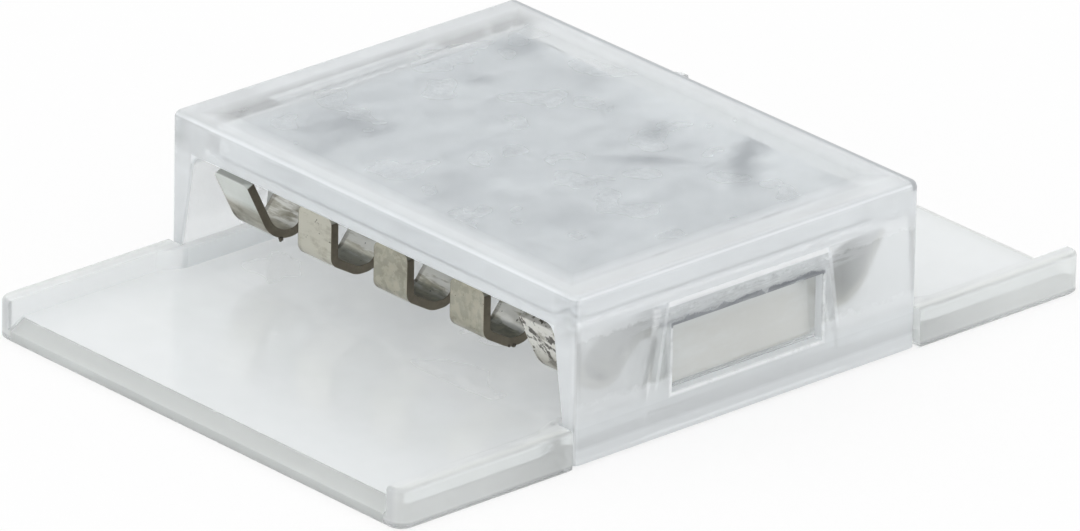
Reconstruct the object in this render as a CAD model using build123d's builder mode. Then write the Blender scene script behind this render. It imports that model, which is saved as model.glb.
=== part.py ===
from build123d import *
import os

os.makedirs("parts", exist_ok=True)

# Clear clip connector that joins two LED strip ends. The strips lie along X on the base plate,
# one from each end, and the spring contacts in the clip-on cover bridge their solder pads.
# Origin: middle of the base plate's underside, +Z up, millimetres.

# Contact row and the strip that it fits
contact_count = 5
contact_pitch = 2.54
strip_margin = 0.92
strip_room = 0.80
blade_width = 1.12
blade_metal = 0.20

# Contact bends on the centreline: insets from the cover's mouths, and steps in height
lean_tip_inset = 0.38
lean_foot_inset = 1.15
leg_inset = 0.70
foot_inset = 1.38
trough_inset = 1.82
crest_inset = 2.55
knee_rise = 0.40
spine_rise = 0.87
leg_tip_drop = 0.36
lean_tip_drop = 0.26
spring_bend = 0.36
knee_bend = 0.22
foot_bend = 0.50
lean_bend = 0.75
tip_round = 0.18

# Base plate
base_length = 20.3
base_corner = 0.4
floor_thickness = 0.48
rail_width = 0.46
rail_height = 0.47
guide_width = 0.25
guide_lead_in = 0.70
lead_in_run = 0.42
lead_in_drop = 0.22
base_edge = 0.10

# Cover
cover_length = 10.2
cover_foot = 0.06
cover_corner = 0.2
cover_edge = 0.18
top_plate = 0.90
wall_head = 0.76
wall_foot = 0.25
ceiling_round = 0.30
lintel_edge = 0.06
field_inset = 0.95
field_side_inset = 0.49
field_drop = 0.18

# Contact seats under the cover: two cross ribs with spacer nibs and heat-staked pins
rib_inset = 0.95
rib_width = 0.80
rib_height = 0.65
nib_drop = 0.15
stake_radius = 0.24
stake_head_radius = 0.42
stake_head = 0.13
stake_head_taper = 25

# Latch: a tongue on each side of the base plate with a barb that stands in the cover's window
tongue_tip_width = 4.8
tongue_root_width = 5.6
tongue_tip_drop = 0.18
tongue_thickness = 0.22
tongue_edge = 0.08
barb_width = 4.30
barb_depth = 0.18
barb_rise = 0.62
barb_height = 1.45

# Clearances
strip_gap = 0.05
wall_gap = 0.16
end_gap = 0.06
seat_gap = 0.04
pocket_gap = 0.08
roof_gap = 0.04
barb_gap = 0.05
window_gap = 0.08
overcut = 1.0

# Widths, from the row of contacts outwards
row_half = contact_pitch * (contact_count - 1) / 2
contact_places = [row_half - contact_pitch * i for i in range(contact_count)]
guide_inside = row_half + strip_margin + strip_gap
guide_outside = guide_inside + guide_width
tongue_outside = guide_inside + tongue_thickness
barb_tip = tongue_outside + barb_depth
lip_inside = barb_tip + barb_gap
waist = lip_inside - wall_gap
base_width = 2 * (waist + rail_width)
cover_width = 2 * (lip_inside + wall_foot)
tunnel_head = cover_width / 2 - wall_head

# Heights above the underside, from the floor upwards
rail_top = floor_thickness + rail_height
trough_height = floor_thickness + strip_room + blade_metal / 2
spine_height = trough_height + spine_rise
spine_top = spine_height + blade_metal / 2
spine_bottom = spine_height - blade_metal / 2
ceiling = spine_top + rib_height + field_drop
cover_top = ceiling + top_plate
tongue_top = ceiling - tongue_tip_drop
tongue_draft = (tongue_root_width - tongue_tip_width) / 2 / (tongue_top - floor_thickness)
barb_bottom = floor_thickness + barb_rise
barb_top = barb_bottom + barb_height

# Distances from the middle along the strips
mouth = cover_length / 2
notch_end = mouth + end_gap
crest_reach = mouth - crest_inset
rib_reach = crest_reach - rib_inset


def side_plane(side, reach):
    """Upright plane at one long side, its local y up and its normal towards the middle."""
    return Plane((0, side * reach, 0), x_dir=(side, 0, 0), z_dir=(0, -side, 0))


def latch_outline(bottom, top, gap):
    """Corners of the tongue's trapezoid between two heights, grown sideways by a gap."""
    half_bottom = tongue_tip_width / 2 + tongue_draft * (tongue_top - bottom) + gap
    half_top = tongue_tip_width / 2 + tongue_draft * (tongue_top - top) + gap
    return [(-half_bottom, bottom), (half_bottom, bottom), (half_top, top), (-half_top, top)]


def guide_outline(side):
    """Plan of the rail where it steps inwards past the cover's wall, with a lead-in at each end."""
    rail_middle = waist + rail_width / 2
    half = [
        (notch_end, guide_outside),
        (notch_end, rail_middle),
        (notch_end + guide_lead_in, rail_middle),
        (notch_end + guide_lead_in, waist),
        (notch_end, guide_inside),
    ]
    outline = half + [(-reach, width) for reach, width in reversed(half)]
    return [(reach, side * width) for reach, width in outline]


# Base plate: a tray with a low rail along each long side. Where the cover's walls pass, each rail
# steps inwards and guides the strips. The floor's ends are bevelled, and a latch tongue stands on
# each side.
with BuildPart() as base_plate:
    with BuildSketch():
        RectangleRounded(base_length, base_width, base_corner)
    extrude(amount=rail_top)
    with BuildSketch(Plane.XY.offset(floor_thickness)):
        Rectangle(base_length + overcut, base_width - 2 * rail_width)
    extrude(amount=rail_top, mode=Mode.SUBTRACT)
    floor_face = base_plate.faces().filter_by(Axis.Z).sort_by(SortBy.AREA)[-2]
    floor_ends = floor_face.edges().filter_by(
        lambda edge: abs(edge.center().X) > base_length / 2 - base_corner / 2
    )
    chamfer(floor_ends, length=lead_in_run, length2=lead_in_drop, reference=floor_face)
    with BuildSketch():
        with GridLocations(0, 2 * waist + overcut, 1, 2):
            Rectangle(2 * notch_end, overcut)
    extrude(amount=rail_top, mode=Mode.SUBTRACT)
    rail_tops = base_plate.faces().filter_by(Axis.Z).group_by(Axis.Z)[-1]
    rail_rims = rail_tops.edges().filter_by(
        lambda edge: abs(edge.center().Y) > base_width / 2 - rail_width / 3
    )
    fillet(rail_rims, base_edge)
    underside = base_plate.faces().sort_by(Axis.Z)[0]
    chamfer(underside.edges(), base_edge / 2)
    for side in (1, -1):
        with BuildSketch(Plane.XY.offset(floor_thickness / 2)):
            with BuildLine():
                Polyline(*guide_outline(side), close=True)
            make_face()
        extrude(amount=rail_top - floor_thickness / 2)
        with BuildSketch(side_plane(side, tongue_outside)):
            with BuildLine():
                Polyline(*latch_outline(floor_thickness / 2, tongue_top, 0), close=True)
            make_face()
        extrude(amount=tongue_thickness)
        with BuildSketch(Plane.YZ.offset(-barb_width / 2)):
            with BuildLine():
                Polyline(
                    (side * tongue_outside, barb_bottom),
                    (side * barb_tip, barb_bottom),
                    (side * tongue_outside, barb_top),
                    close=True,
                )
            make_face()
        extrude(amount=barb_width)
    tongue_tips = base_plate.faces().filter_by(Axis.Z).group_by(Axis.Z)[-1]
    fillet(tongue_tips.edges().filter_by(Axis.X), tongue_edge)

base_plate.part.label = "base_plate"
export_step(base_plate.part, "parts/base_plate.step")


# Cover: a clear tunnel with strongly drafted side walls and a frosted field under its top plate,
# with a pocket and a window in each wall for the latch
with BuildPart() as cover:
    with BuildSketch(Plane.XY.offset(cover_foot)):
        RectangleRounded(cover_length, cover_width, cover_corner)
    extrude(amount=cover_top - cover_foot)
    fillet(cover.faces().sort_by(Axis.Z)[-1].edges(), cover_edge)
    with BuildSketch(Plane.YZ) as tunnel:
        with BuildLine():
            Polyline(
                (-lip_inside, cover_foot),
                (lip_inside, cover_foot),
                (tunnel_head, ceiling),
                (-tunnel_head, ceiling),
                close=True,
            )
        make_face()
        fillet(tunnel.vertices().group_by(Axis.Y)[-1], ceiling_round)
    extrude(amount=mouth + overcut, both=True, mode=Mode.SUBTRACT)
    lintels = cover.edges().filter_by(Axis.Y).filter_by_position(
        Axis.Z, ceiling - cover_edge, ceiling + cover_edge
    )
    fillet(lintels, lintel_edge)
    with BuildSketch(Plane.XY.offset(ceiling)):
        Rectangle(2 * (mouth - field_inset), 2 * (tunnel_head - field_side_inset))
    extrude(amount=-field_drop)

    # Seats: the ribs reach down to the contacts' spines, and the nibs stand between the spines
    with BuildSketch(Plane.XY.offset(ceiling)):
        with GridLocations(2 * rib_reach, 0, 2, 1):
            Rectangle(rib_width, 2 * row_half + blade_width)
    extrude(amount=spine_top - ceiling)
    with BuildSketch(Plane.XY.offset(spine_top)):
        with GridLocations(2 * rib_reach, contact_pitch, 2, contact_count - 1):
            Rectangle(rib_width, contact_pitch - blade_width - 2 * seat_gap)
    extrude(amount=-nib_drop)
    with BuildSketch(Plane.XY.offset(spine_top)):
        with GridLocations(2 * rib_reach, contact_pitch, 2, contact_count):
            Circle(stake_radius)
    extrude(amount=-blade_metal)
    with BuildSketch(Plane.XY.offset(spine_bottom)):
        with GridLocations(2 * rib_reach, contact_pitch, 2, contact_count):
            Circle(stake_head_radius)
    extrude(amount=-stake_head, taper=stake_head_taper)

    # Latch pockets in the inner faces, and the windows through what is left of the walls
    for side in (1, -1):
        with BuildSketch(side_plane(side, lip_inside)):
            with BuildLine():
                pocket = latch_outline(cover_foot - overcut, tongue_top + roof_gap, pocket_gap)
                Polyline(*pocket, close=True)
            make_face()
        extrude(amount=lip_inside - guide_inside + wall_gap, mode=Mode.SUBTRACT)
        with BuildSketch(side_plane(side, cover_width / 2 + overcut)):
            with Locations((0, (barb_bottom + barb_top) / 2)):
                Rectangle(barb_width + 2 * window_gap, barb_height + 2 * window_gap)
        extrude(amount=overcut + 2 * wall_foot, mode=Mode.SUBTRACT)

cover.part.label = "cover"
export_step(cover.part, "parts/cover.step")


# Contacts: plated spring strips, each with a flat staked spine and, at both ends, a trough that
# presses on the strip's pad and a turned-up leg that leads the strip in under it. The legs of the
# two outer contacts lean out towards the mouths, and the others stand upright.
for number, place in enumerate(contact_places, start=1):
    outermost = number in (1, contact_count)
    if outermost:
        leg = [
            (mouth - lean_tip_inset, ceiling - lean_tip_drop),
            (mouth - lean_foot_inset, trough_height),
        ]
        leg_bends = [lean_bend]
    else:
        leg = [
            (mouth - leg_inset, ceiling - leg_tip_drop),
            (mouth - leg_inset, trough_height + knee_rise),
            (mouth - foot_inset, trough_height),
        ]
        leg_bends = [knee_bend, foot_bend]
    right_half = leg + [(mouth - trough_inset, trough_height), (crest_reach, spine_height)]
    bends = leg_bends + [spring_bend, spring_bend]
    left_half = [(-reach, height) for reach, height in right_half]
    with BuildPart() as contact:
        with BuildLine(Plane.XZ.offset(-place)) as route:
            FilletPolyline(*left_half, *reversed(right_half), radius=bends + bends[::-1])
        with BuildSketch(Plane(route.line @ 0, x_dir=(0, 1, 0), z_dir=route.line % 0)):
            Rectangle(blade_width, blade_metal)
        sweep()
        with Locations((-rib_reach, place, spine_top), (rib_reach, place, spine_top)):
            Hole(stake_radius + seat_gap)
        tips = contact.faces().sort_by(Axis.Z)[-2:]
        tip_corners = tips.edges().filter_by(lambda edge: edge.length < 2 * blade_metal)
        fillet(tip_corners, tip_round)
    contact.part.label = f"contact_{number}"
    export_step(contact.part, f"parts/contact_{number}.step")
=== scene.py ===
import math

import bpy
from mathutils import Matrix, Vector


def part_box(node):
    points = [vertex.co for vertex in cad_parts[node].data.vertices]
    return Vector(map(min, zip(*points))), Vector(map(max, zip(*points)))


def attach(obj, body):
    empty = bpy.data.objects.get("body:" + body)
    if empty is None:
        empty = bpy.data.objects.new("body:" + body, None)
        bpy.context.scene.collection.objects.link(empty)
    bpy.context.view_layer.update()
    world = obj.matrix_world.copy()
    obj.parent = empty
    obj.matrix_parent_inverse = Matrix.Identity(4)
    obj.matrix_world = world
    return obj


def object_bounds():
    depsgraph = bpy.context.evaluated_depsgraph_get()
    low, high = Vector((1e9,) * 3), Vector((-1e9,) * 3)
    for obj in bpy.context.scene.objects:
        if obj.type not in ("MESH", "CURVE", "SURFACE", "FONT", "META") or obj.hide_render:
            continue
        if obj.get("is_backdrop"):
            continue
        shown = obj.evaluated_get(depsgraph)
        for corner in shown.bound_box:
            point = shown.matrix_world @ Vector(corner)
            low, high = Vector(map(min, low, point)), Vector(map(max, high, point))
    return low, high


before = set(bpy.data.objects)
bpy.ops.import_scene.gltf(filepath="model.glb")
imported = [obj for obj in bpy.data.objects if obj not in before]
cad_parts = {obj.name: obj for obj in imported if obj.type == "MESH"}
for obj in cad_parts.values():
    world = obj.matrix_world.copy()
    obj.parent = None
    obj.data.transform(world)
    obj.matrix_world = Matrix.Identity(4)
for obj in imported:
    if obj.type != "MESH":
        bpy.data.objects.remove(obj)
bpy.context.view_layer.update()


# Base plate: one moulding in translucent plastic, a flat tray with a low rail along each long side
# and a latch tongue that stands up at the middle of each rail. Its faces are satin from the mould,
# the bevelled ends and the rails' outer faces are dull, and the tongues have yellowed a little.
class Shade:
    """One socket of a node tree; sums on it add Math nodes."""

    def __init__(self, graph, socket):
        self.graph = graph
        self.socket = socket

    def math(self, operation, *others, clamp=False):
        settings = {"operation": operation, "use_clamp": clamp}
        values = {index: value for index, value in enumerate((self, *others))}
        return self.graph.node("ShaderNodeMath", settings, values)

    def __add__(self, other):
        return self.math("ADD", other)

    __radd__ = __add__

    def __sub__(self, other):
        return self.math("SUBTRACT", other)

    def __rsub__(self, other):
        return self.graph.node("ShaderNodeMath", {"operation": "SUBTRACT"}, {0: other, 1: self})

    def __mul__(self, other):
        return self.math("MULTIPLY", other)

    __rmul__ = __mul__

    def __truediv__(self, other):
        return self.math("DIVIDE", other)

    def __abs__(self):
        return self.math("ABSOLUTE")

    def below(self, edge, soft):
        """1 where the value is under an edge, falling to 0 over a soft width."""
        return ((edge + soft / 2 - self) / soft).math("ADD", 0, clamp=True)

    def above(self, edge, soft):
        """1 where the value is over an edge, rising from 0 over a soft width."""
        return ((self - (edge - soft / 2)) / soft).math("ADD", 0, clamp=True)


class Graph:
    """A node tree whose place reads in millimetres; node() adds one node to it."""

    def __init__(self, tree, where=None, output=0):
        self.tree = tree
        if not where:
            return
        place = self.node(where, output=output)
        self.place = self.node(
            "ShaderNodeVectorMath", {"operation": "SCALE"}, {0: place, "Scale": 1000}
        )
        self.across = self.node("ShaderNodeSeparateXYZ", values={0: self.place}, output="X")
        split = self.across.socket.node
        self.along = Shade(self, split.outputs["Y"])
        self.up = Shade(self, split.outputs["Z"])

    def feed(self, socket, value):
        if isinstance(value, Shade):
            self.tree.links.new(value.socket, socket)
        else:
            socket.default_value = value

    def node(self, kind, settings=None, values=None, output=0):
        made = self.tree.nodes.new(kind)
        for name, value in (settings or {}).items():
            setattr(made, name, value)
        for name, value in (values or {}).items():
            self.feed(made.inputs[name], value)
        return Shade(self, made.outputs[output]) if made.outputs else made

    def noise(self, scale, detail=2.0, rough=0.5, stretch=None, flat=False):
        """Noise from 0 to 1 whose scale counts cells per millimetre."""
        place = self.place
        if stretch:
            stretched = {0: place, 1: stretch}
            place = self.node("ShaderNodeVectorMath", {"operation": "MULTIPLY"}, stretched)
        values = {"Vector": place, "Scale": scale, "Detail": detail, "Roughness": rough}
        settings = {"noise_dimensions": "2D" if flat else "3D"}
        return self.node("ShaderNodeTexNoise", settings, values)


class Finish(Graph):
    """A material that reads its place from the object's own coordinates, or a world."""

    def __init__(self, name, world=None):
        self.material = world or bpy.data.materials.new(name)
        self.material.use_nodes = True
        self.material.node_tree.nodes.clear()
        where = None if world else "ShaderNodeTexCoord"
        super().__init__(self.material.node_tree, where, "Object")

    def blend(self, share, first, second):
        """A colour that goes from the first to the second as the share goes from 0 to 1."""
        made = self.tree.nodes.new("ShaderNodeMix")
        made.data_type = "RGBA"
        self.feed(made.inputs[0], share)
        self.feed(made.inputs[6], first)
        self.feed(made.inputs[7], second)
        return Shade(self, made.outputs[2])

    def bump(self, height, strength, depth):
        """A normal from a height of 0 to 1 that stands for a depth in millimetres."""
        values = {"Height": height, "Strength": strength, "Distance": depth / 1000}
        return self.node("ShaderNodeBump", values=values, output="Normal")

    def plain(self, **sockets):
        """A Principled shader, with its sockets given by name."""
        values = {name.replace("_", " "): value for name, value in sockets.items()}
        return self.node("ShaderNodeBsdfPrincipled", values=values, output="BSDF")

    def layered(self, share, under, over):
        """The first shader, covered by the second by a share."""
        return self.node("ShaderNodeMixShader", values={0: share, 1: under, 2: over})

    def finished(self, shader):
        self.node("ShaderNodeOutputMaterial", values={"Surface": shader})
        return self.material


def dress(node, material):
    """Gives a CAD node its finish."""
    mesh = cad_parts[node].data
    mesh.materials.clear()
    mesh.materials.append(material)


base_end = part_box("base_plate")[1].x * 1000
bevel_run = 0.42
floor_side = 6.28
rail_inner = 6.30
rail_outer = 6.55
rail_head = 0.93
tongue_foot = 1.05
tongue_side = 6.2
barb_head = 2.30
# Heights of the band of painted shade across the tongues
shade_band_low = 2.44
shade_band_high = 2.60
# Where the contacts' painted shadows lie on the floor by each mouth
contact_shadow_start = 4.6
contact_shadow_end = 7.6
contact_shadow_side = 5.4
cover_end = 6.2

base_tint = (0.968, 0.993, 1.0, 1)
# The dull colours also paint the contacts' shadows on the floor
base_tint_dull_and_shadow = (0.82, 0.85, 0.825, 1)
base_haze = (0.96, 0.985, 0.997, 1)
base_haze_dull_and_shadow = (0.80, 0.83, 0.80, 1)
base_haze_yellow = (0.80, 0.80, 0.765, 1)
base_light = (0.975, 0.99, 0.995, 1)
# Colour of the painted shade across the tongues
tongue_painted_shade = (0.22, 0.23, 0.25, 1)

base_finish = Finish("base_clear_satin")
across, along, up = base_finish.across, base_finish.along, base_finish.up
from_middle, from_axis = abs(across), abs(along)
cloud = base_finish.noise(0.30, 3.0, 0.5)
grain = base_finish.noise(2.5, 2.0, 0.5)
base_grain = base_finish.bump(grain, 0.15, 0.01)
inside = base_finish.node("ShaderNodeNewGeometry", output="Backfacing")

ends = from_middle.above(base_end - bevel_run, 0.08) * from_axis.below(floor_side, 0.12)
tongues = up.above(tongue_foot, 0.2)
rail_sides = from_axis.above(rail_outer, 0.12) * (1 - tongues)
rail_tops = from_axis.above(rail_inner, 0.08) * up.above(rail_head, 0.02) * (1 - tongues)
# Soft dark patches on the floor by both mouths: painted shadows of the contacts
painted_contact_shadows = base_finish.noise(0.55, 2.0, 0.5).above(0.50, 0.14) * from_middle.above(contact_shadow_start, 0.6)
painted_contact_shadows = painted_contact_shadows * from_middle.below(contact_shadow_end, 1.6) * from_axis.below(contact_shadow_side, 1.0)
# The dull colour covers the ends, the tongues and the rails, and also paints the contacts' shadows
dulled_and_shadowed = ends * 0.8 + tongues * 0.4 + rail_sides * (1 - inside) * 0.5 + rail_tops * 0.2
dulled_and_shadowed = (dulled_and_shadowed + painted_contact_shadows * 0.16).math("MINIMUM", 1.0)
# A ragged band of painted shade across each tongue, just under the window's top edge
uneven_height = up + (base_finish.noise(1.6, 4.0, 0.6) - 0.5) * 0.30
latch_painted_shade = uneven_height.above(shade_band_low, 0.05) * uneven_height.below(shade_band_high, 0.04)
latch_painted_shade = latch_painted_shade * base_finish.noise(2.2, 3.0, 0.6).above(0.42, 0.2)
latch_painted_shade = latch_painted_shade * from_axis.above(tongue_side, 0.05)
yellowed = base_finish.noise(0.9, 4.0, 0.65, stretch=(0.5, 1.0, 1.5)).above(0.38, 0.3)
yellowed = tongues * yellowed * up.below(barb_head, 0.25)

base_clear = base_finish.plain(
    Base_Color=base_finish.blend(dulled_and_shadowed, base_tint, base_tint_dull_and_shadow),
    Roughness=0.05 + cloud * 0.06 + ends * 0.25,
    IOR=1.49,
    Transmission_Weight=0.95,
    Normal=base_grain,
)
base_milk_colour = base_finish.blend(dulled_and_shadowed, base_haze, base_haze_dull_and_shadow)
base_milk_colour = base_finish.blend(yellowed, base_milk_colour, base_haze_yellow)
base_milk_colour = base_finish.blend(latch_painted_shade, base_milk_colour, tongue_painted_shade)
base_milk = base_finish.plain(Base_Color=base_milk_colour, Roughness=0.30, Normal=base_grain)
base_glow = base_finish.node("ShaderNodeBsdfTranslucent", values={"Color": base_light})
under_cover = from_middle.below(cover_end, 3.0) * (1 - tongues)
base_veil = 0.29 + cloud * 0.16 + tongues * 0.24 + latch_painted_shade * 0.4
base_veil = base_veil + rail_sides * 0.16 + rail_tops * 0.04 - under_cover * 0.22
base_veil = base_veil * up.above(0.12, 0.1) * (1 - inside * 0.8)
base_hazy = base_finish.layered(base_veil, base_clear, base_milk)
dress("base_plate", base_finish.finished(base_finish.layered(0.10, base_hazy, base_glow)))


# Cover: one moulding in clear plastic, polished outside. It scatters light a little, most at its
# top edges and mouths, and its tunnel walls are satin. Painted shade darkens the window's top face,
# a ragged line along the window's top edge and dark stripes beside the latch under the pocket's top,
# and a thin line of painted dark reflection runs along the top edge over the far mouth. Painted
# highlights brighten the window's sill and sides, a line along the latch pocket's top, the pocket's
# slanted sides and a rim round the window.
half_length = 5.10
half_width = 6.75
wall_inside = 6.40
wall_draft = 0.1635
ceiling = 3.18
tunnel_head = 5.99
tongue_half = 2.40
tongue_draft = 0.1587
tongue_top = 3.00
window_half = 2.23
window_top = 2.63
window_sill = 1.02
rib_low = 2.30
rib_high = 2.98
rib_end = 5.80
field_low = 2.97
field_side = 6.05
rim_start = 4.50
rim_side = 5.95
rim_low = 3.98

latch_reach = 3.2
lip_reach = 2.30
lip_line_low = 2.58
lip_line_high = 2.74
jamb_low = 1.3
pocket_reach = 2.36
pocket_line_low = 3.10
pocket_line_high = 3.22
streak_low = 2.70
streak_high = 3.12
top_band = 2.98
low_band = 1.45
foot_band = 0.42
clear_band = 0.92
far_edge_low = 3.85
far_edge_start = 4.85
far_edge_end = 5.05

cover_tint = (0.974, 0.991, 0.999, 1)
cover_haze = (0.935, 0.968, 0.988, 1)
# Colour of the painted highlights
cover_painted_highlight = (0.965, 0.99, 1.0, 1)
cover_light = (0.972, 0.992, 1.0, 1)
# Colour of the painted shade and of the painted dark reflection
cover_painted_shade = (0.12, 0.13, 0.15, 1)

cover_finish = Finish("cover_clear_polished")
across, along, up = cover_finish.across, cover_finish.along, cover_finish.up
from_middle, from_axis = abs(across), abs(along)
ripple = cover_finish.noise(0.7, 2.0, 0.5)
ragged = cover_finish.noise(3.0, 4.0, 0.6)
broken = ragged.above(0.42, 0.2)
torn = up + (ragged - 0.5) * 0.45
inside = cover_finish.node("ShaderNodeNewGeometry", output="Backfacing")

outside = from_axis.above(half_width - 0.04, 0.04)
mouths = from_middle.above(half_length - 0.06, 0.06)
inner_lean = from_axis + (up - ceiling) * wall_draft - tunnel_head
tunnel = up.below(ceiling + 0.05, 0.04)
tunnel_walls = tunnel * inner_lean.above(-0.06, 0.04) * inner_lean.below(0.06, 0.04)
in_window = from_middle.below(window_half + 0.04, 0.04) * from_axis.above(wall_inside, 0.04)
# The window's top face, painted dark as shade
lip_painted_shade = in_window * up.above(window_top - 0.03, 0.02) * up.below(window_top + 0.03, 0.02)
lip_painted_shade = lip_painted_shade * (1 - outside)
# The window's sill and sides are made milky white as painted highlights
sill = in_window * up.above(window_sill - 0.03, 0.02) * up.below(window_sill + 0.03, 0.02)
reveal = in_window * from_middle.above(window_half - 0.03, 0.02) * up.below(window_top, 0.02)
bright = (sill + reveal * up.above(window_sill, 0.02)) * (1 - outside)
by_latch = outside * from_middle.below(latch_reach, 0.8)
ribs = up.above(rib_low, 0.04) * up.below(rib_high, 0.04) * from_axis.below(rib_end, 0.05)
margin = up.above(field_low, 0.03) * up.below(ceiling + 0.03, 0.03)
margin = margin * from_axis.below(field_side, 0.05)
rim = (from_middle - rim_start).math("MAXIMUM", from_axis - rim_side).above(0, 0.5)
rim = rim * up.above(rim_low, 0.04)
low = torn.below(low_band, 0.15)

# A ragged line of painted shade along the window's top edge
lip_shade_line = torn.above(lip_line_low, 0.03) * torn.below(lip_line_high, 0.05)
lip_shade_line = outside * from_middle.below(lip_reach, 0.06) * lip_shade_line
# Painted highlights along the latch pocket's slanted sides, along its top and round the window
jamb = from_middle + (up - tongue_top) * tongue_draft - tongue_half
jamb_painted_highlights = outside * jamb.above(-0.03, 0.04) * jamb.below(0.06, 0.04) * up.above(jamb_low, 0.3)
jamb_painted_highlights = jamb_painted_highlights * up.below(tongue_top + 0.15, 0.1)
pocket_painted_highlight = up.above(pocket_line_low, 0.04) * up.below(pocket_line_high, 0.04)
pocket_painted_highlight = outside * from_middle.below(pocket_reach, 0.1) * pocket_painted_highlight
off_window = (from_middle - window_half).math("MAXIMUM", window_sill - up)
window_painted_highlight = outside * off_window.above(-0.02, 0.03) * off_window.below(0.07, 0.06)
window_painted_highlight = window_painted_highlight * up.below(window_top, 0.05) * (0.45 + broken * 0.55)
# A thin line of painted dark reflection along the top edge over the far mouth
far_edge_dark_reflection = up.above(far_edge_low, 0.06) * across.above(far_edge_start, 0.04)
far_edge_dark_reflection = far_edge_dark_reflection * across.below(far_edge_end, 0.04)
# Dark stripes of painted shade beside the latch, under the pocket's top
latch_shade_streaks = cover_finish.noise(1.2, 4.0, 0.6, stretch=(1.0, 1.0, 6.0)).above(0.50, 0.12)
latch_shade_streaks = latch_shade_streaks * by_latch * up.above(streak_low, 0.1) * up.below(streak_high, 0.1)

foot = up.below(foot_band, 0.1) * 0.16 - up.above(foot_band, 0.1) * up.below(clear_band, 0.04) * 0.05
side_haze = outside * (0.30 + torn.above(top_band, 0.08) * 0.20) + outside * low * 0.11
mouth_haze = mouths * 0.42 + mouths * from_axis.above(6.0, 0.3) * up.below(3.0, 0.5) * 0.20
veil = 0.12 + side_haze + mouth_haze + rim * 0.45 + outside * foot
veil = veil - by_latch * tunnel * (1 - low) * 0.26 + lip_painted_shade * 0.7 + bright * 0.7
veil = veil * (1 - inside * (0.7 + low * 0.25)) + margin * 0.5 + ribs * 0.5
veil = veil + lip_shade_line * (0.25 + broken * 0.4) + latch_shade_streaks * 0.30 + far_edge_dark_reflection * 0.45
veil = veil + (jamb_painted_highlights * 0.35 + pocket_painted_highlight) * (0.6 + broken * 0.4) + window_painted_highlight * 0.5
veil = veil - mouths * up.above(3.3, 0.4) * from_axis.above(6.2, 0.4) * 0.22
veil = veil - mouths * up.above(ceiling, 0.1) * from_axis.below(3.0, 3.0) * 0.12
veil = (veil + (ripple - 0.5) * 0.08).math("ADD", 0, clamp=True)

cover_grain = cover_finish.bump(ripple + tunnel_walls * ragged, 0.25, 0.03)
cover_clear = cover_finish.plain(
    Base_Color=cover_tint,
    Roughness=0.03 + ripple * 0.05 + tunnel_walls * (1 - low) * 0.20,
    IOR=1.50,
    Transmission_Weight=0.95,
    Normal=cover_grain,
)
# The painted shade and the painted dark reflection take the dark colour
painted_dark_lines = lip_painted_shade * ragged * 1.6 + lip_shade_line * 0.9 + latch_shade_streaks * 0.32 + far_edge_dark_reflection * 0.55
cover_milk_colour = cover_finish.blend(pocket_painted_highlight + window_painted_highlight, cover_haze, cover_painted_highlight)
cover_milk_colour = cover_finish.blend(painted_dark_lines, cover_milk_colour, cover_painted_shade)
cover_milk = cover_finish.plain(Base_Color=cover_milk_colour, Roughness=0.30, Normal=cover_grain)
cover_glow = cover_finish.node("ShaderNodeBsdfTranslucent", values={"Color": cover_light})
cover_hazy = cover_finish.layered(veil, cover_clear, cover_milk)
dress("cover", cover_finish.finished(cover_finish.layered(0.12, cover_hazy, cover_glow)))


# Rough field: the part of the cover's ceiling that is sparked rough in the mould, shown by a thin
# milky layer just inside the plastic. Its face has the fine pits and fibres of the spark, its rim
# is slightly ragged, and soft dark patches cloud it.
class Growth(Graph):
    """A Geometry Nodes tree with named inputs, sizes in millimetres."""

    def __init__(self, name, **sizes):
        tree = bpy.data.node_groups.new(name, "GeometryNodeTree")
        self.sizes = sizes
        kinds = {float: "NodeSocketFloat", int: "NodeSocketInt"}
        face = tree.interface
        face.new_socket("Start", in_out="INPUT", socket_type="NodeSocketGeometry")
        for label, size in sizes.items():
            face.new_socket(label, in_out="INPUT", socket_type=kinds[type(size)])
        face.new_socket("Result", in_out="OUTPUT", socket_type="NodeSocketGeometry")
        self.entry = tree.nodes.new("NodeGroupInput")
        super().__init__(tree, "GeometryNodeInputPosition")

    def given(self, label):
        return Shade(self, self.entry.outputs[label])

    def vector(self, x, y, z):
        """A vector in metres from three lengths in millimetres."""
        joined = self.node("ShaderNodeCombineXYZ", values={"X": x, "Y": y, "Z": z})
        values = {0: joined, "Scale": 0.001}
        return self.node("ShaderNodeVectorMath", {"operation": "SCALE"}, values)

    def grown(self, shape, name, material, start=()):
        """The finished tree as one plain object, begun from points in millimetres."""
        whole = self.node("GeometryNodeRealizeInstances", values={0: shape})
        values = {"Geometry": whole, "Material": material}
        self.node("NodeGroupOutput", values={0: self.node("GeometryNodeSetMaterial", values=values)})
        seeds = bpy.data.meshes.new(name)
        seeds.from_pydata([[mm / 1000 for mm in point] for point in start], [], [])
        piece = bpy.data.objects.new(name, seeds)
        bpy.context.scene.collection.objects.link(piece)
        modifier = piece.modifiers.new("growth", "NODES")
        modifier.node_group = self.tree
        for item in self.tree.interface.items_tree:
            if item.name in self.sizes:
                modifier[item.identifier] = self.sizes[item.name]
        graph = bpy.context.evaluated_depsgraph_get()
        mesh = bpy.data.meshes.new_from_object(piece.evaluated_get(graph), depsgraph=graph)
        piece.modifiers.clear()
        piece.data = mesh
        return piece


field_pale = (0.93, 0.965, 0.985, 1)
field_dark = (0.30, 0.33, 0.36, 1)
bright_start = 3.5
bright_slant = 0.12

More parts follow.
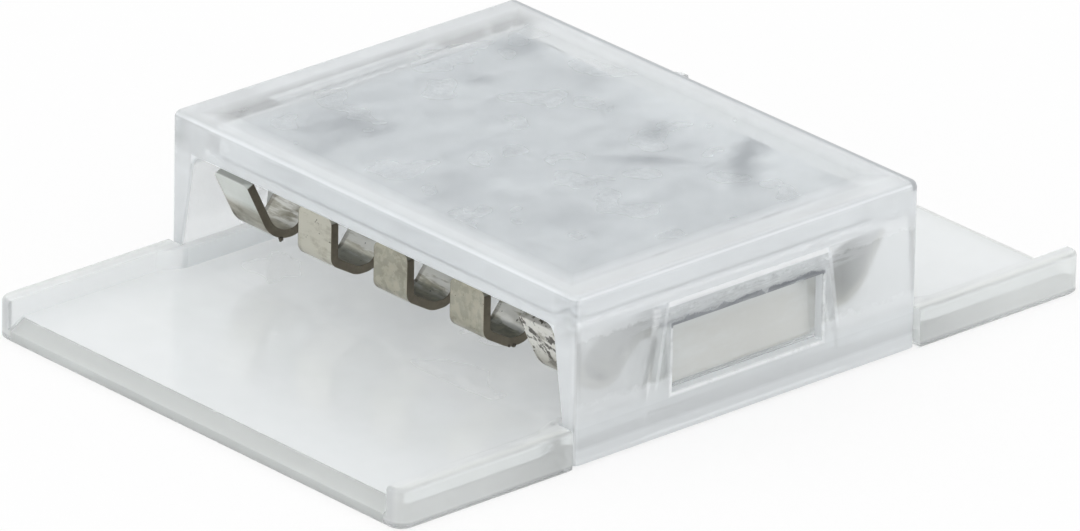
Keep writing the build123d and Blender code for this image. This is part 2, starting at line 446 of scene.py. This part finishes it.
field_finish = Finish("field_frosted")
mottle = field_finish.noise(1.3, 5.0, 0.65)
spark = field_finish.noise(9.0, 3.0, 0.7)
fibre = field_finish.noise(1.0, 4.0, 0.6, stretch=(0.45, 2.2, 1.0))
drift = (field_finish.noise(0.55, 2.0, 0.5) - 0.5) * 0.9
shade = 0.33 + (mottle - 0.5) * 0.75 + (fibre - 0.5) * 0.60 + (spark - 0.5) * 0.5
bright_side = (field_finish.across - field_finish.along * bright_slant).above(bright_start, 1.0)
shade = shade - bright_side * 0.30

# Each patch: its middle, its reach along the two diagonals, and how dark it is
cloudy_patches = [
    (3.49, -3.01, 0.70, 3.20, 1.05),
    (2.82, -0.57, 1.05, 1.10, 0.55),
    (3.60, 2.79, 0.75, 1.10, 0.50),
    (3.90, 4.90, 1.20, 1.40, 0.55),
    (1.71, 4.14, 0.80, 0.60, 0.50),
    (-2.39, 4.00, 1.90, 1.55, 0.55),
    (1.50, -1.51, 1.70, 0.50, 0.55),
    (-2.70, -0.07, 1.90, 1.90, 0.25),
    (-2.00, -2.80, 2.20, 2.30, 0.20),
    (-3.80, 3.56, 0.95, 1.20, 0.30),
    (4.00, -5.30, 1.20, 1.20, 0.35),
]
for middle_x, middle_y, falling_reach, rising_reach, depth in cloudy_patches:
    off_x = field_finish.across + drift - middle_x
    off_y = field_finish.along - drift - middle_y
    falling = (off_x - off_y) / falling_reach
    rising = (off_x + off_y) / rising_reach
    apart = (falling * falling + rising * rising).math("SQRT")
    shade = shade + (1 - apart).math("ADD", 0, clamp=True) * depth
shade = shade.math("ADD", 0, clamp=True)
field_colour = field_finish.blend(shade, field_pale, field_dark)
field_grain = field_finish.bump(spark, 0.6, 0.02)
field_matte = field_finish.plain(Base_Color=field_colour, Roughness=0.75, Normal=field_grain)

spark_mould = Growth(
    "spark_eroded_face",
    Length=8.40, Width=11.16, Depth=0.05, Middle=3.235, Pits=0.016, Fibres=0.012, Rim=0.05,
    Cells_Across=121, Cells_Along=161,
)
values = {
    "Size": spark_mould.vector(*(spark_mould.given(way) for way in ("Length", "Width", "Depth"))),
    "Vertices X": spark_mould.given("Cells_Across"),
    "Vertices Y": spark_mould.given("Cells_Along"),
    "Vertices Z": 2,
}
slab = spark_mould.node("GeometryNodeMeshCube", values=values)
face_up = spark_mould.up.above(0, 0.01)
pits = (spark_mould.noise(7.0, 3.0, 0.6, flat=True) - 0.5) * spark_mould.given("Pits")
fibres = spark_mould.noise(1.0, 3.0, 0.6, stretch=(1.5, 8.0, 1.0), flat=True) - 0.5
relief = (pits + fibres * spark_mould.given("Fibres")) * face_up
ragged_across = (spark_mould.noise(2.2, 4.0, 0.6, flat=True) - 0.5) * spark_mould.given("Rim")
ragged_along = (spark_mould.noise(2.7, 4.0, 0.6, flat=True) - 0.5) * spark_mould.given("Rim")
offset = spark_mould.vector(ragged_across, ragged_along, relief + spark_mould.given("Middle"))
slab = spark_mould.node("GeometryNodeSetPosition", values={"Geometry": slab, "Offset": offset})
field = spark_mould.grown(slab, "frosted_field", field_finish.finished(field_matte))
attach(field, "clip_cover")


# Contacts: five tin-plated spring strips, sheared from sheet and bent, staked under the cover by
# moulded pins. The sheared edges show the darker bare metal, and handling has worn the faces.
# Soot and scratches cover the strip at the near side, and the strip at the far side has no specks.
# The two strips next to the near one carry painted shade, the far strip's lower leg painted shade
# and its upper leg painted light, and the risers stripes of painted sheen. The strips' lower left
# rims are darkened as painted shade, and the tops of the tips are darkened.
contact_pitch = 2.54
blade_half_width = 0.56
row_shift = 20.5
far_strip = 3.8
near_strip = -3.8
second_strip = 1.2
riser_end = 3.40
foot_top = 1.75
tip_low = 2.86
leg_middle = 2.15
bared_low = 1.85
soot_low = 1.8

tin = (0.60, 0.58, 0.50, 1)
tin_worn = (0.38, 0.355, 0.29, 1)
# Painted shade for the two strips next to the near one
tin_shaded = (0.33, 0.32, 0.26, 1)
tin_fleck = (0.66, 0.62, 0.50, 1)
# Painted shade and painted light for the far strip's lower and upper leg
tin_painted_shade_leg = (0.30, 0.28, 0.23, 1)
tin_painted_light_leg = (0.82, 0.84, 0.80, 1)
# Painted sheen for stripes across the risers
tin_painted_sheen = (0.90, 0.89, 0.85, 1)
tin_sooty = (0.44, 0.42, 0.36, 1)
tin_scratched = (0.88, 0.86, 0.81, 1)
# Black of soot and of the painted shade at the lower rims
soot_and_shade_black = (0.10, 0.09, 0.075, 1)
shear_dark = (0.16, 0.14, 0.11, 1)
shear_light = (0.30, 0.27, 0.21, 1)
shear_near = (0.62, 0.60, 0.53, 1)

contact_finish = Finish("contact_tin_plate")
across, along, up = contact_finish.across, contact_finish.along, contact_finish.up
in_pitch = (along / contact_pitch + row_shift).math("FRACT") - 0.5
sheared = (abs(in_pitch) * contact_pitch).above(blade_half_width - 0.012, 0.008)
stain = contact_finish.noise(1.6, 5.0, 0.65)
scuff = contact_finish.noise(7.0, 4.0, 0.6, stretch=(1.0, 0.25, 1.0))
patch = contact_finish.noise(1.1, 2.0, 0.4)
worn = (stain * 0.6 + scuff * 0.4).above(0.56, 0.16)
# Stripes of painted sheen across the risers
painted_sheen_stripe = contact_finish.noise(2.0, 4.0, 0.6, stretch=(2.2, 0.35, 2.2)).above(0.47, 0.10)
far_one = along.above(far_strip, 0.1)
near_one = along.below(near_strip, 0.1)
near_two = along.below(second_strip, 0.1) * (1 - near_one)
riser = abs(across).below(riser_end, 0.2)
# The lower left rims of the strips are darkened as painted shade; the tops of the tips are darkened
left_rim = (in_pitch * contact_pitch + scuff * 0.10).above(0.50, 0.04)
foot_rim_painted_shade = left_rim * up.below(foot_top, 0.5)
tip_line = up.above(tip_low, 0.05)
# The far strip's lower leg carries painted shade and its upper leg painted light
low_leg_painted_shade = far_one * up.below(leg_middle, 0.25) * across.below(0, 0.1)
high_leg_painted_light = far_one * up.above(leg_middle, 0.25)
fleck = contact_finish.noise(4.5, 3.0, 0.6).above(0.50, 0.10) * near_two
bared = near_one * up.above(bared_low, 0.5) * contact_finish.noise(2.6, 3.0, 0.6).above(0.40, 0.12)
soot = contact_finish.noise(3.2, 4.0, 0.6).above(0.55, 0.05) * near_one
soot = soot * (0.4 + up.above(soot_low, 0.4) * 0.6)
specks = contact_finish.noise(9.0, 2.0, 0.5).above(0.72, 0.03) * (1 - far_one)
# Soot and specks, with the painted shade at the lower rims and the darkened tips
dirt_and_shade = (soot * 0.9 + specks * 0.7 + foot_rim_painted_shade * 0.6 + tip_line * 0.45).math("MINIMUM", 1.0)

# Layers over the tin: painted shade on the middle strips, flecks, painted shade and painted light on
# the far strip's legs, painted sheen on the risers, the near strip's soot and scratches, and black
layers = [
    (near_two * (0.6 + patch.above(0.5, 0.3) * 0.4), tin_shaded),
    (fleck * 0.30, tin_fleck),
    (low_leg_painted_shade * 0.35, tin_painted_shade_leg),
    (high_leg_painted_light, tin_painted_light_leg),
    (riser * painted_sheen_stripe * 0.8, tin_painted_sheen),
    (near_one * 0.8, tin_sooty),
    (bared * 0.9, tin_scratched),
    (dirt_and_shade, soot_and_shade_black),
]
face_colour = contact_finish.blend(worn, tin, tin_worn)
for share, colour in layers:
    face_colour = contact_finish.blend(share, face_colour, colour)
edge_colour = contact_finish.blend(scuff, shear_dark, shear_light)
edge_colour = contact_finish.blend(near_one * 0.9, edge_colour, shear_near)
contact_metal = contact_finish.plain(
    Base_Color=contact_finish.blend(sheared, face_colour, edge_colour),
    Metallic=1.0,
    Roughness=0.28 + worn * 0.22 + sheared * 0.15 + dirt_and_shade * 0.2,
    Normal=contact_finish.bump(scuff * 0.6 + stain * 0.4, 0.5, 0.02),
)
contact_material = contact_finish.finished(contact_metal)
for number in range(1, 6):
    dress(f"contact_{number}", contact_material)


# Burrs: flakes of plating that the shear tore and left hanging on a few of the strips' edges, seven
# in all. They are bare, dark metal, and each is a small lump torn out of round.
burr_dark = (0.05, 0.045, 0.04, 1)
burr_light = (0.22, 0.20, 0.16, 1)
burr_places = [
    (-3.76, 4.53, 1.31),
    (-3.60, -3.09, 1.29),
    (-3.74, -3.09, 1.31),
    (-4.28, -4.53, 1.88),
    (3.70, 3.09, 1.31),
    (3.58, -1.99, 1.29),
    (4.48, 1.99, 2.10),
]
burr_finish = Finish("burr_bare_metal")
burr_tone = burr_finish.noise(14.0, 2.0, 0.5)
burr_metal = burr_finish.plain(
    Base_Color=burr_finish.blend(burr_tone, burr_dark, burr_light),
    Metallic=1.0,
    Roughness=0.35 + burr_tone * 0.3,
)
burr_material = burr_finish.finished(burr_metal)
tearing = Growth("torn_flakes", Radius=0.055, Least=0.6, Most=1.3, Tear=0.09, Seed=7)
values = {"Radius": tearing.given("Radius") / 1000, "Subdivisions": 3}
flake = tearing.node("GeometryNodeMeshIcoSphere", values=values)
values = {"Min": tearing.given("Least"), "Max": tearing.given("Most"), "Seed": tearing.given("Seed")}
size = tearing.node("FunctionNodeRandomValue", {"data_type": "FLOAT"}, values, output=1)
values = {"Points": tearing.given("Start"), "Instance": flake, "Scale": size}
flakes = tearing.node("GeometryNodeInstanceOnPoints", values=values)
flakes = tearing.node("GeometryNodeRealizeInstances", values={0: flakes})
pulls = [(tearing.noise(scale, 2.0, 0.6) - 0.5) * tearing.given("Tear") for scale in (9.0, 11.0, 13.0)]
values = {"Geometry": flakes, "Offset": tearing.vector(*pulls)}
flakes = tearing.node("GeometryNodeSetPosition", values=values)
burrs = tearing.grown(flakes, "contact_burrs", burr_material, burr_places)
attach(burrs, "clip_cover")


# Table and light: a plain white floor under a wide soft box, with pale light from all round. The
# floor and the surroundings show white to the camera, also in reflections and through the plastic.
def seen(finish):
    """1 for rays from the camera, from a reflection or through clear plastic."""
    path = finish.node("ShaderNodeLightPath", output="Is Camera Ray")
    glossy = Shade(finish, path.socket.node.outputs["Is Glossy Ray"])
    through = Shade(finish, path.socket.node.outputs["Is Transmission Ray"])
    return (path + glossy + through).math("MINIMUM", 1.0)


floor_size = 3.0
floor_drop = 0.00002
paper_white = (0.88, 0.88, 0.88, 1)
seen_matte = (0.25, 0.25, 0.25, 1)
seen_glow = (0.75, 0.75, 0.75, 1)
room_white = (1, 1, 1, 1)
room_light = 0.85
box_size = 0.36
box_power = 0.35
box_place = (-0.20, -0.10, 0.38)

bpy.ops.mesh.primitive_plane_add(size=floor_size, location=(0, 0, -floor_drop))
floor = bpy.context.object
floor.name = "table"
floor_finish = Finish("table_white")
matte = floor_finish.node("ShaderNodeBsdfDiffuse", values={"Color": seen_matte}, output="BSDF")
glow = floor_finish.node("ShaderNodeEmission", values={"Color": seen_glow})
both = floor_finish.node("ShaderNodeAddShader", values={0: matte, 1: glow})
paper = floor_finish.node("ShaderNodeBsdfDiffuse", values={"Color": paper_white}, output="BSDF")
table_top = floor_finish.layered(seen(floor_finish), paper, both)
floor.data.materials.append(floor_finish.finished(table_top))
floor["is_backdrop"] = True

bpy.context.scene.world = bpy.data.worlds.new("white_room")
room = Finish("white_room", world=bpy.context.scene.world)
strength = room_light + seen(room) * (1 - room_light)
room_glow = room.node("ShaderNodeBackground", values={"Color": room_white, "Strength": strength})
room.node("ShaderNodeOutputWorld", values={"Surface": room_glow})

soft_box = bpy.data.lights.new("soft_box", "AREA")
soft_box.shape = "RECTANGLE"
soft_box.size = box_size
soft_box.size_y = box_size
soft_box.energy = box_power
lamp = bpy.data.objects.new("soft_box", soft_box)
bpy.context.scene.collection.objects.link(lamp)
lamp.location = box_place
lamp.rotation_mode = "QUATERNION"
lamp.rotation_quaternion = (-lamp.location).to_track_quat("-Z", "Y")


# Camera: a long lens far off, turned and raised to the photograph's angle, with a slight roll. The
# focal length in the photograph's pixels comes from the run of the connector's straight edges.
turn = math.radians(-42.16)
rise = math.radians(23.75)
roll = math.radians(1.10)
camera_distance = 0.3446
aside = -0.000029
above = 0.001046
photo_width = 1080
focal_pixels = 15499
sensor_width = 36

back = Vector((math.sin(turn) * math.cos(rise), -math.cos(turn) * math.cos(rise), math.sin(rise)))
level = Vector((math.cos(turn), math.sin(turn), 0))
upright = back.cross(level)
right = level * math.cos(roll) + upright * math.sin(roll)
upward = upright * math.cos(roll) - level * math.sin(roll)
place = back * camera_distance + right * aside + upward * above
lens = bpy.data.cameras.new("camera")
lens.sensor_width = sensor_width
lens.lens = focal_pixels * sensor_width / photo_width
lens.clip_start = 0.05
lens.clip_end = 5
camera = bpy.data.objects.new("camera", lens)
bpy.context.scene.collection.objects.link(camera)
camera.matrix_world = (
    Matrix.Translation(place) @ Matrix((right, upward, back)).transposed().to_4x4()
)
bpy.context.scene.camera = camera

bpy.context.scene.view_settings.view_transform = "Standard"

low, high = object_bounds()
